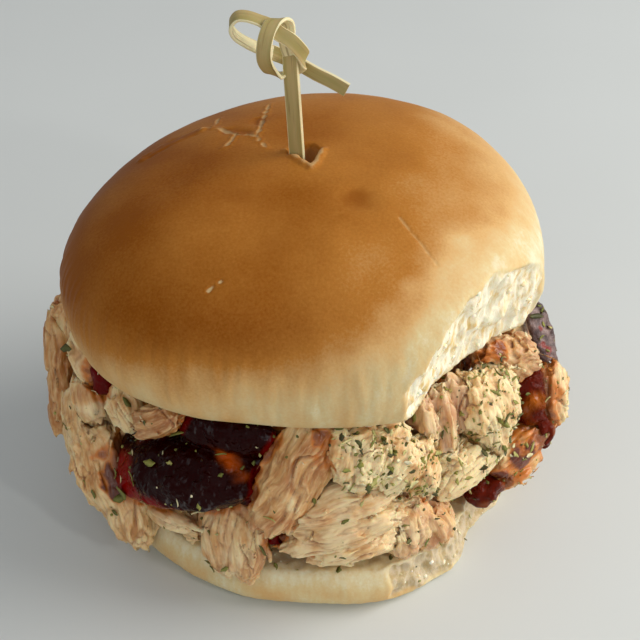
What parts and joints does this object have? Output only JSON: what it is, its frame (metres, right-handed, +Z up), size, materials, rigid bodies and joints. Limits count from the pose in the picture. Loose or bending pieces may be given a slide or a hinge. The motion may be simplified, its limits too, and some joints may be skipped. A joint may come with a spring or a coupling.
{
  "type": "barbecue chicken slider",
  "caption": "Small bitten bun filled with pulled chicken in barbecue sauce with dried herbs, held by a knotted bamboo pick.",
  "frame": {"origin": "on the bun's axis, on the flat underside that the slider stands on", "axes": "+Z up, -Y the side that is seen, the bun bitten towards +X -Y"},
  "size_m": [0.0945, 0.0802, 0.0962],
  "materials": {
    "bun": "soft baked crust, browned above and pale at the rim, white torn crumb in the bite",
    "chicken": "moist pulled chicken, fibrous, stained by sauce and flecked with dried herbs",
    "chicken_skin": "dark sauced skin, glossy",
    "sauce": "thick dark red-brown barbecue sauce, wet gloss",
    "bamboo": "bare split bamboo strip, fine straight grain"
  },
  "bodies": {
    "root": {"bamboo_pick": "bamboo", "bun_crown": "bun", "bun_heel": "bun", "chicken_back_1": "chicken", "chicken_back_2": "chicken", "chicken_back_3": "chicken", "chicken_back_4": "chicken", "chicken_back_5": "chicken", "chicken_back_6": "chicken", "chicken_bed": "chicken", "chicken_bite_mound": "chicken", "chicken_bite_strands": "chicken", "chicken_bite_wedge": "chicken", "chicken_front_fold": "chicken", "chicken_front_low": "chicken", "chicken_front_slab": "chicken", "chicken_front_top": "chicken", "chicken_left_heap": "chicken", "chicken_left_lump": "chicken", "chicken_left_mid": "chicken", "chicken_left_pale": "chicken", "chicken_left_strip": "chicken", "chicken_left_tongue": "chicken", "chicken_left_top": "chicken", "chicken_low_slab": "chicken", "chicken_low_strand": "chicken", "chicken_right_low": "chicken", "chicken_right_outer": "chicken", "chicken_right_side": "chicken", "chicken_right_top": "chicken", "chicken_skin": "chicken_skin", "sauce_back": "sauce", "sauce_left_drop": "sauce", "sauce_pool": "sauce", "sauce_right_glob": "sauce", "sauce_right_run": "sauce", "sauce_under_slab": "sauce"}
  },
  "joints": []
}
